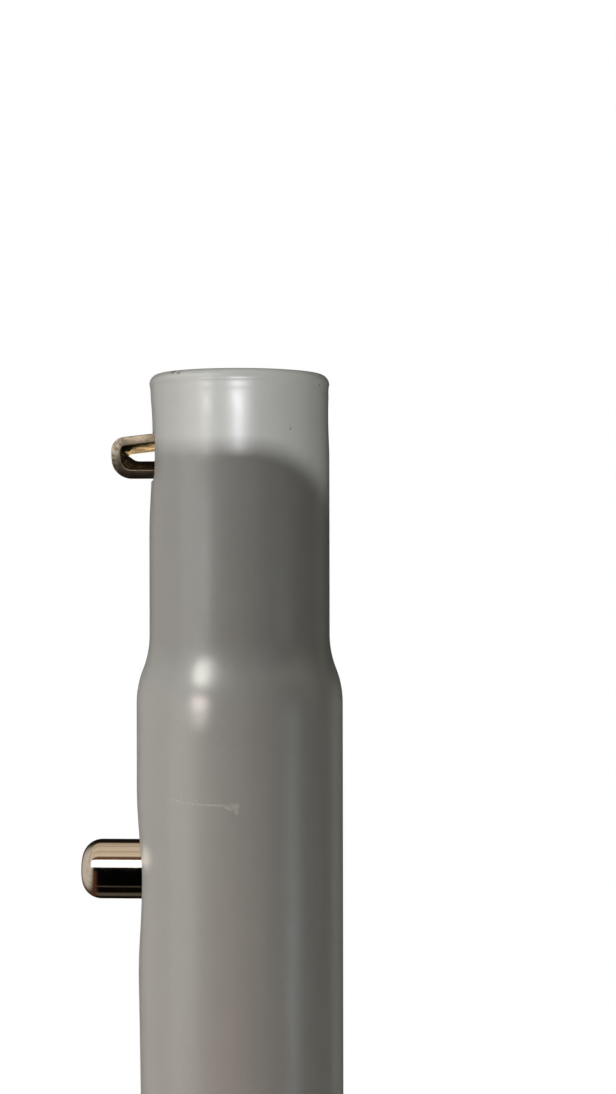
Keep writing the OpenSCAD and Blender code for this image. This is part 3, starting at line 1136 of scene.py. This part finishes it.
def make_world():
    """White behind the object; bands of light and dark for its reflections; dim light all round."""
    world = bpy.data.worlds.new("studio")
    bpy.context.scene.world = world
    world.use_nodes = True
    tree = world.node_tree
    x, y, z = split(tree, add_node(tree, "ShaderNodeTexCoord").outputs["Generated"])
    leftward = calc(tree, "MULTIPLY", x, -1.0)
    around = calc(tree, "ARCTAN2", z, calc(tree, "MULTIPLY", y, -1.0))
    share = add_node(tree, "ShaderNodeMapRange", {"Value": around, "From Min": -math.pi, "From Max": math.pi})
    bands = add_node(tree, "ShaderNodeValToRGB", {"Fac": share.outputs[0]})
    stops = bands.color_ramp.elements
    for i, (degrees, hex_code) in enumerate(STUDIO_BANDS):
        place = (degrees + 180) / 360
        stop = stops[i] if i < 2 else stops.new(place)
        stop.position = place
        stop.color = rgba(hex_code)
    low_left = calc(tree, "MULTIPLY", remap(tree, leftward, 0.16, 0.4), remap(tree, z, 0.1, -0.15))
    mirrored = blend(tree, low_left, bands.outputs["Color"], rgba(STUDIO_LOW_LEFT))
    mirrored = blend(tree, remap(tree, leftward, 0.5, 0.85), mirrored, rgba(STUDIO_LEFT))
    path = add_node(tree, "ShaderNodeLightPath")
    unseen = blend(tree, path.outputs["Is Glossy Ray"], rgba(STUDIO_DIM), mirrored)
    seen = blend(tree, path.outputs["Is Camera Ray"], unseen, rgba("FFFFFF"))
    tree.links.new(seen, tree.nodes["Background"].inputs["Color"])


def make_camera(sizes):
    """A camera in front of the tube."""
    data = bpy.data.cameras.new("camera")
    data.lens = sizes.lens
    data.sensor_fit = "AUTO"
    data.clip_start = 0.01
    camera = link_object("camera", data)
    turn = sizes.camera_turn
    back = Vector((math.sin(turn), -math.cos(turn), 0))
    right = Vector((math.cos(turn), math.sin(turn), 0))
    camera.location = sizes.camera_distance * back + sizes.camera_sidestep * right
    camera.location.z = TUBE_LENGTH - sizes.camera_drop
    camera.rotation_euler = (math.pi / 2, sizes.camera_roll, turn)
    bpy.context.scene.camera = camera


# --- Operators and panel ---


class MAST_OT_tube(bpy.types.Operator):
    """Build the swaged, powder-coated tube"""

    bl_idname = "mast.tube"
    bl_label = "Tube"

    def execute(self, context):
        make_tube(context.scene.mast_tube, context.scene.mast_spring)
        return {"FINISHED"}


class MAST_OT_spring(bpy.types.Operator):
    """Build the hairpin spring and the strip that ends in the latch loop"""

    bl_idname = "mast.spring"
    bl_label = "Spring latch"

    def execute(self, context):
        scene = context.scene
        tree = strip_tree()
        material = spring_nickel(scene.mast_spring)
        make_hairpin(scene.mast_spring, tree, material)
        make_latch_strip(scene.mast_spring, tree, material, scene.mast_tube, scene.mast_button)
        return {"FINISHED"}


class MAST_OT_button(bpy.types.Operator):
    """Build the turned push button"""

    bl_idname = "mast.button"
    bl_label = "Push button"

    def execute(self, context):
        make_button(context.scene.mast_button, context.scene.mast_spring.thickness)
        return {"FINISHED"}


class MAST_OT_stage(bpy.types.Operator):
    """Set up the floor, the lights, the world and the camera"""

    bl_idname = "mast.stage"
    bl_label = "Stage"

    def execute(self, context):
        sizes = context.scene.mast_stage
        make_camera(sizes)
        paper = floor_finish()
        make_floor(sizes, paper)
        make_world()
        make_card(paper)
        lamps = [make_lamp(name, *values) for name, values in LAMPS.items()]
        lamps += [make_glint(name, *values) for name, values in GLINTS.items()]
        light_only(lamps, "matt_pieces", ("tube_shell", "hairpin_spring", "floor"))
        metal_lamp = make_lamp("metal_softbox", *METAL_LAMP)
        light_only([metal_lamp], "bright_pieces", ("latch_button", "latch_strip"))
        strip_lamp = make_lamp("strip_back_lamp", *STRIP_LAMP)
        light_only([strip_lamp], "strip_piece", ("latch_strip",))
        context.scene.view_settings.view_transform = "Standard"
        return {"FINISHED"}


class MAST_PT_parts(bpy.types.Panel):
    """Buttons that build each part, and the sizes that they use"""

    bl_idname = "MAST_PT_parts"
    bl_label = "Mast tube"
    bl_space_type = "VIEW_3D"
    bl_region_type = "UI"
    bl_category = "Mast tube"

    def draw(self, context):
        groups = {
            "mast.tube": context.scene.mast_tube,
            "mast.spring": context.scene.mast_spring,
            "mast.button": context.scene.mast_button,
            "mast.stage": context.scene.mast_stage,
        }
        for operator, group in groups.items():
            box = self.layout.box()
            box.operator(operator)
            for name in group.bl_rna.properties.keys():
                if name not in ("rna_type", "name"):
                    box.prop(group, name)


GROUPS = {
    "mast_tube": TubeSizes,
    "mast_spring": SpringSizes,
    "mast_button": ButtonSizes,
    "mast_stage": StageSizes,
}
CLASSES = (*GROUPS.values(), MAST_OT_tube, MAST_OT_spring, MAST_OT_button, MAST_OT_stage, MAST_PT_parts)


def register():
    """Register every class and hang the size groups on the scene."""
    for item in CLASSES:
        bpy.utils.register_class(item)
    for name, group in GROUPS.items():
        setattr(bpy.types.Scene, name, PointerProperty(type=group))


def unregister():
    """Undo register."""
    for name in GROUPS:
        delattr(bpy.types.Scene, name)
    for item in reversed(CLASSES):
        bpy.utils.unregister_class(item)


def main():
    """Build everything round the frame."""
    register()
    bpy.ops.mast.tube()
    bpy.ops.mast.spring()
    bpy.ops.mast.button()
    bpy.ops.mast.stage()


if __name__ == "__main__":
    main()
